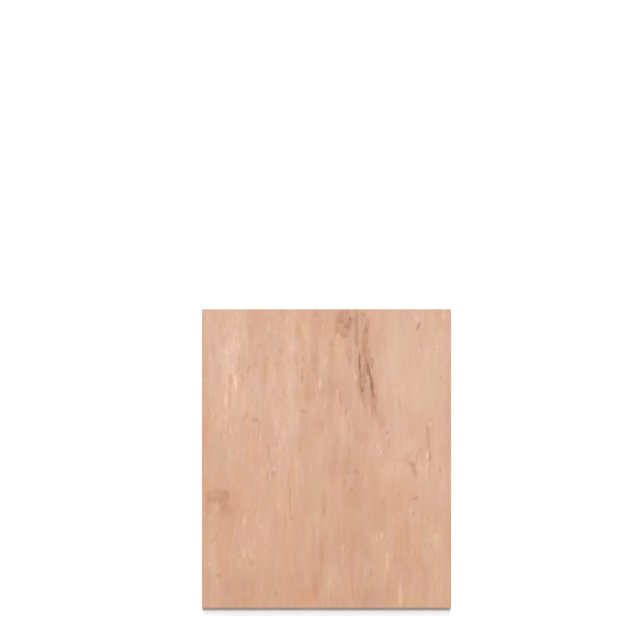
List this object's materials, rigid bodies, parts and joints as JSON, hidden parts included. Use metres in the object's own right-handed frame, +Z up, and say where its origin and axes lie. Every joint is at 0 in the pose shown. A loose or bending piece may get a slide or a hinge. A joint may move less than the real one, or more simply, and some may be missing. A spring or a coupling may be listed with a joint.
{
  "type": "plywood sheet",
  "caption": "Flat rectangular plywood sheet with a pinkish tan hardwood face veneer and square sawn edges, stock for shelves, boxes, linings and panels.",
  "frame": {"origin": "middle of the back face, which lies on the floor", "axes": "+X across the face grain, +Y along the face grain, +Z up out of the good face"},
  "size_m": [0.5, 0.6, 0.018],
  "materials": {
    "plywood": "matte"
  },
  "bodies": {
    "root": {"plywood_sheet": "plywood"}
  },
  "joints": []
}
